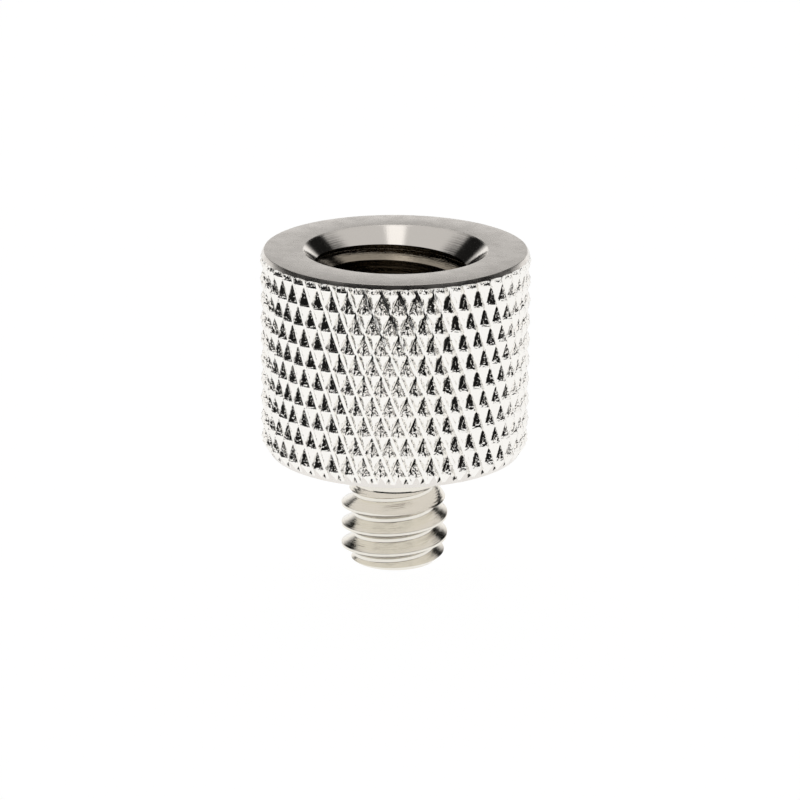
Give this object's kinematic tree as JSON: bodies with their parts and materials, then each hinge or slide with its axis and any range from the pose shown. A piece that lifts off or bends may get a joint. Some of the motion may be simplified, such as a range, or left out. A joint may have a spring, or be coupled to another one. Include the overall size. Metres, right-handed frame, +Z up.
{
  "type": "tripod thread adapter",
  "caption": "Round knurled metal adapter with a countersunk female tripod thread in its top and a short male camera thread on a plain neck below.",
  "frame": {"origin": "centre of the stud's flat end, on which the adapter stands upright", "axes": "+Z up the adapter's axis, from the stud to the mouth of the socket; X and Y lie across it, with the start of both threads' grooves on +Y"},
  "size_m": [0.0158, 0.0158, 0.0191],
  "materials": {
    "nickel_plate": "satin to bright nickel plate over turned brass"
  },
  "bodies": {
    "root": {"adapter_body": "nickel_plate"}
  },
  "joints": []
}
